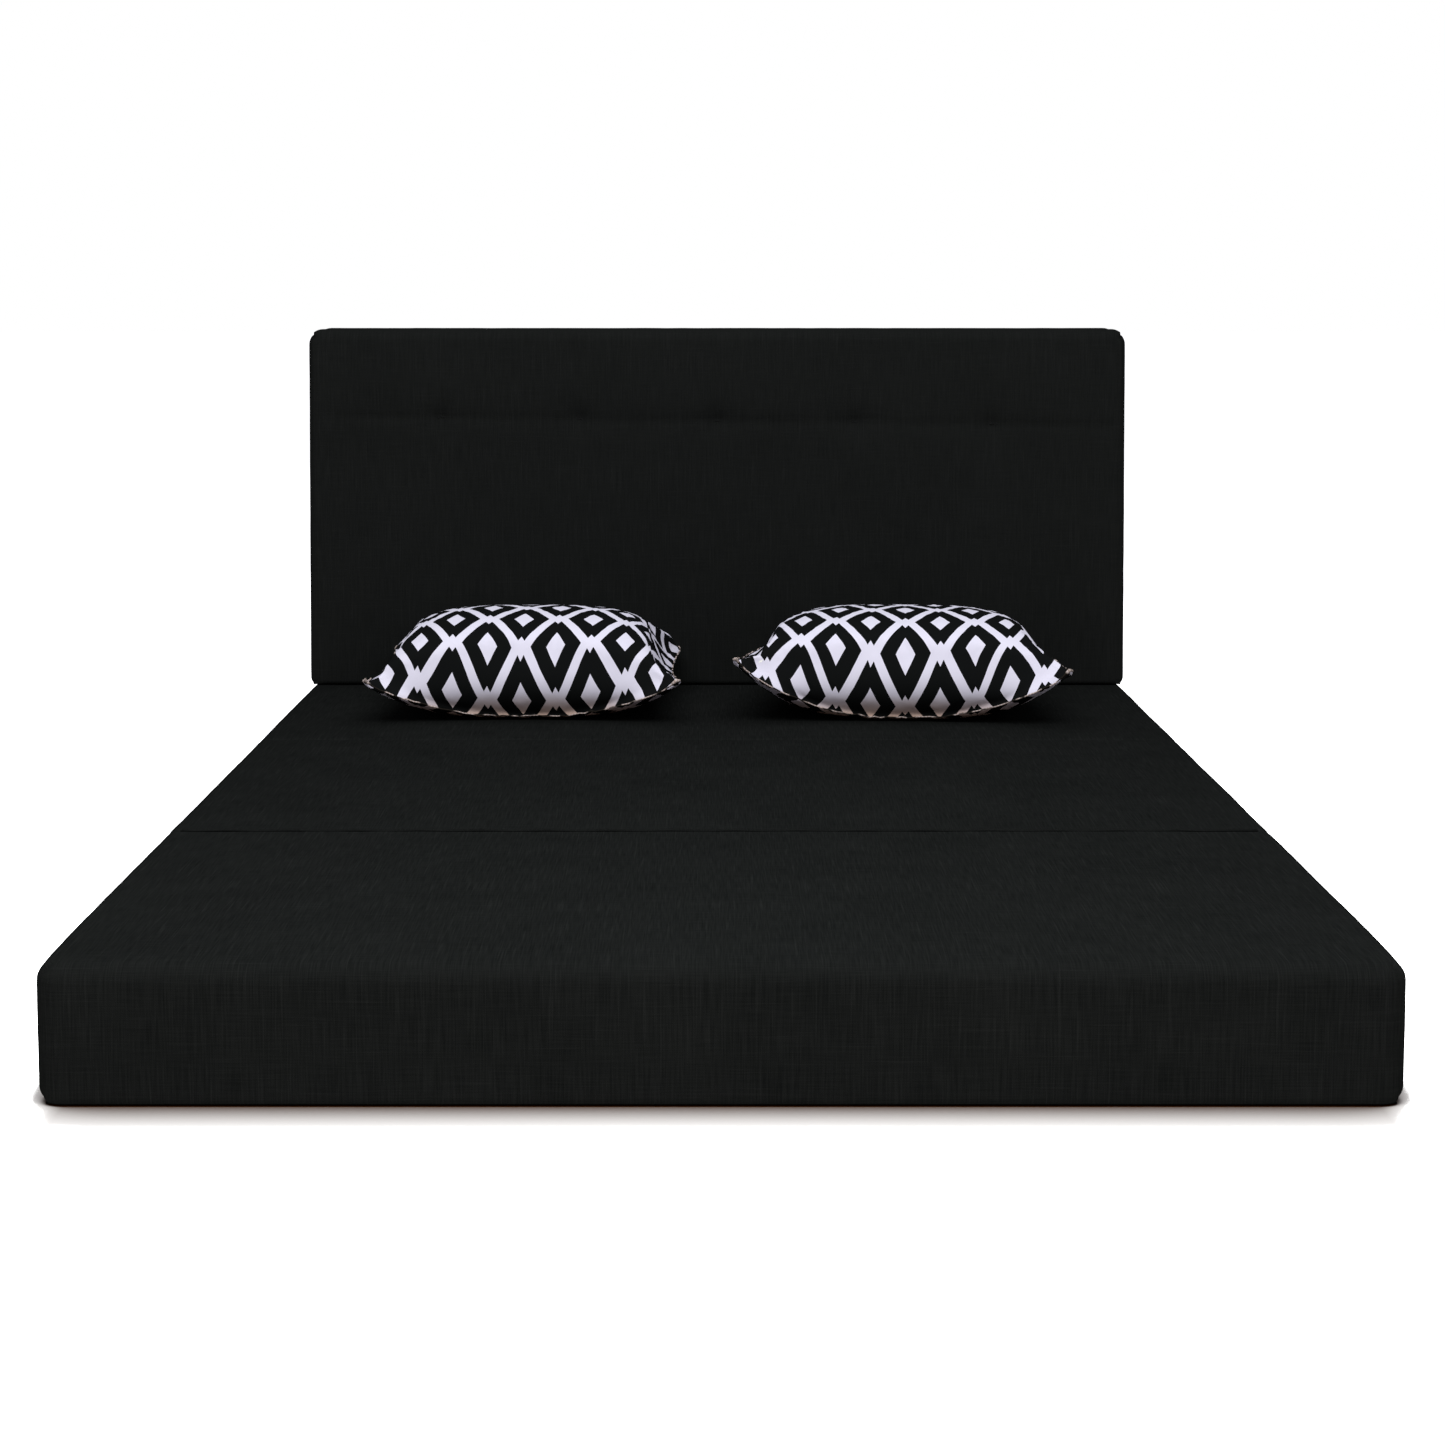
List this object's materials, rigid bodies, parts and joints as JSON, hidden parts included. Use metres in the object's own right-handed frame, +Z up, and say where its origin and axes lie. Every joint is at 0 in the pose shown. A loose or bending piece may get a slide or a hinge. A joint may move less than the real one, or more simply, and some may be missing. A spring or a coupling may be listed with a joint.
{
  "type": "folding foam futon mattress",
  "caption": "Folding foam sofa bed: hinged mattress panels in a black woven cover, an upright tufted backrest, and loose cushions with a trellis print.",
  "frame": {"origin": "on the floor at the centre of the footprint, with the bed laid out flat", "axes": "+X to the right, +Y towards the backrest, +Z up"},
  "size_m": [1.219, 1.829, 0.6606],
  "materials": {
    "cover_fabric": "woven linen-look polyester, matt",
    "base_cloth": "plain woven polyester, matt",
    "fold_strip": "plain woven polyester, matt",
    "foam": "open-cell polyurethane foam",
    "wadding": "polyester fibre wadding",
    "tie_thread": "bonded polyester thread",
    "zip_tape": "woven tape with a nylon coil",
    "zip_slider": "black enamelled zinc",
    "cushion_print": "printed cotton-look polyester, matt"
  },
  "bodies": {
    "front_panel": {"front_foam_core": "foam", "front_top_cover": "cover_fabric", "front_base_cloth": "base_cloth", "front_zip_chain": "zip_tape", "top_fold_strip": "fold_strip"},
    "mid_panel": {"mid_foam_core": "foam", "mid_top_cover": "cover_fabric", "mid_base_cloth": "base_cloth", "mid_zip_chain": "zip_tape", "bottom_fold_strip": "fold_strip"},
    "rear_panel": {"rear_foam_core": "foam", "rear_top_cover": "cover_fabric", "rear_base_cloth": "base_cloth", "rear_zip_chain": "zip_tape", "backrest_strip": "fold_strip"},
    "backrest": {"backrest_foam_core": "foam", "backrest_wadding": "wadding", "backrest_front_cover": "cover_fabric", "backrest_back_cover": "base_cloth", "backrest_tuft_ties": "tie_thread", "backrest_zip_chain": "zip_tape"},
    "left_cushion": {"left_cushion_upper_cover": "cushion_print", "left_cushion_lower_cover": "cushion_print", "left_cushion_filling": "wadding", "left_cushion_zip_chain": "zip_tape"},
    "right_cushion": {"right_cushion_upper_cover": "cushion_print", "right_cushion_lower_cover": "cushion_print", "right_cushion_filling": "wadding", "right_cushion_zip_chain": "zip_tape"},
    "front_zip": {"front_zip_slider": "zip_slider"},
    "mid_zip": {"mid_zip_slider": "zip_slider"},
    "rear_zip": {"rear_zip_slider": "zip_slider"},
    "backrest_zip": {"backrest_zip_slider": "zip_slider"},
    "left_cushion_zip": {"left_cushion_zip_slider": "zip_slider"},
    "right_cushion_zip": {"right_cushion_zip_slider": "zip_slider"}
  },
  "joints": [
    {"name": "mid_fold", "type": "hinge", "parent": "front_panel", "child": "mid_panel", "pos_m": [0, -0.3059, 0.13], "axis": [1, 0, 0], "range_deg": [0, 180], "deforming": ["top_fold_strip"]},
    {"name": "rear_fold", "type": "hinge", "parent": "mid_panel", "child": "rear_panel", "pos_m": [0, 0.3047, -0.0005], "axis": [1, 0, 0], "range_deg": [-180, 0], "deforming": ["bottom_fold_strip"]},
    {"name": "backrest_recline", "type": "hinge", "parent": "rear_panel", "child": "backrest", "pos_m": [0, 0.9133, 0.1273], "axis": [-1, 0, 0], "range_deg": [0, 90], "deforming": ["backrest_strip"]},
    {"name": "left_cushion_lift", "type": "slide", "parent": "rear_panel", "child": "left_cushion", "axis": [0, 0, 1], "range_m": [0, 0.25]},
    {"name": "right_cushion_lift", "type": "slide", "parent": "rear_panel", "child": "right_cushion", "axis": [0, 0, 1], "range_m": [0, 0.25]},
    {"name": "front_zip_run", "type": "slide", "parent": "front_panel", "child": "front_zip", "axis": [-1, 0, 0], "range_m": [0, 1.06]},
    {"name": "mid_zip_run", "type": "slide", "parent": "mid_panel", "child": "mid_zip", "axis": [-1, 0, 0], "range_m": [0, 1.06]},
    {"name": "rear_zip_run", "type": "slide", "parent": "rear_panel", "child": "rear_zip", "axis": [-1, 0, 0], "range_m": [0, 1.06]},
    {"name": "backrest_zip_run", "type": "slide", "parent": "backrest", "child": "backrest_zip", "axis": [-1, 0, 0], "range_m": [0, 1.06]},
    {"name": "left_cushion_zip_run", "type": "slide", "parent": "left_cushion", "child": "left_cushion_zip", "axis": [-1, 0, 0], "range_m": [0, 0.2]},
    {"name": "right_cushion_zip_run", "type": "slide", "parent": "right_cushion", "child": "right_cushion_zip", "axis": [-0.9976, 0.0698, 0], "range_m": [0, 0.2]}
  ],
  "couplings": [
    {"joint": "rear_fold", "follows": "mid_fold", "ratio": -1}
  ]
}
